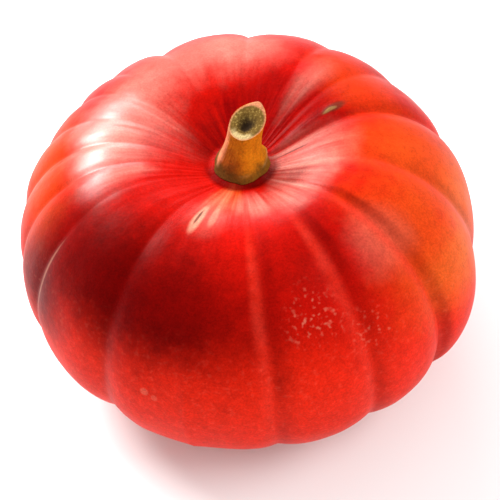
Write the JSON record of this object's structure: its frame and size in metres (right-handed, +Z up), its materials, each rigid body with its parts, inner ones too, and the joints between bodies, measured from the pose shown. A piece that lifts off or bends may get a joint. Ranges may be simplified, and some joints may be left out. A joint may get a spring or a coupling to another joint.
{
  "type": "pumpkin",
  "caption": "Flattened, ribbed pumpkin with a waxy orange-red skin and a cut woody stalk in a deep hollow, resting on the flat spot underneath.",
  "frame": {"origin": "on the floor under the middle of the fruit, in the plane of the flat spot that it rests on", "axes": "+Z up through the fruit from the blossom end to the stalk; -Y towards the viewer of the usual three-quarter view from above; +X to that viewer's right"},
  "size_m": [0.2989, 0.2998, 0.1916],
  "materials": {
    "rind": "satin",
    "stalk_wood": "matte"
  },
  "bodies": {
    "root": {"fruit": "rind", "stalk": "stalk_wood"}
  },
  "joints": []
}
